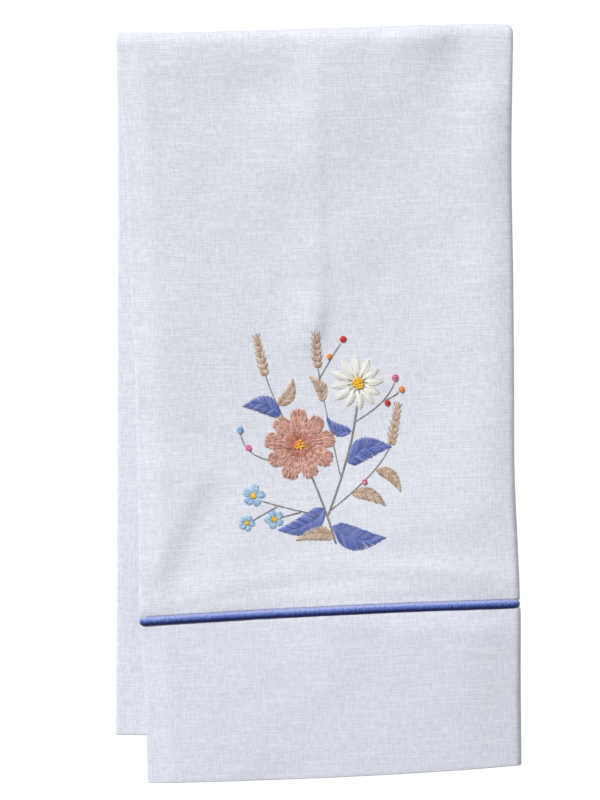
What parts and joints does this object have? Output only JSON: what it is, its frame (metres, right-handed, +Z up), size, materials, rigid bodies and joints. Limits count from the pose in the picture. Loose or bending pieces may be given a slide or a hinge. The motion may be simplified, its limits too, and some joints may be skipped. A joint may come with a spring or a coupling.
{
  "type": "folded linen hand towel",
  "caption": "Linen hand towel folded in three lengthwise and in half crosswise, with corded piping above a doubled hem band, lying flat.",
  "frame": {"origin": "middle of the towel's box, on the surface that it lies on", "axes": "+X across the towel to the right, +Y along it towards the crosswise fold, +Z up from the surface, with the face side of the front leg looking up"},
  "size_m": [0.1556, 0.2912, 0.0144],
  "materials": {
    "linen": "matt white plain-weave linen with uneven threads",
    "band_linen": "matt white plain-weave linen, doubled",
    "piping_satin": "mid-blue satin over a cotton cord"
  },
  "bodies": {
    "root": {"towel_body": "linen", "hem_band": "band_linen", "piping": "piping_satin"}
  },
  "joints": []
}
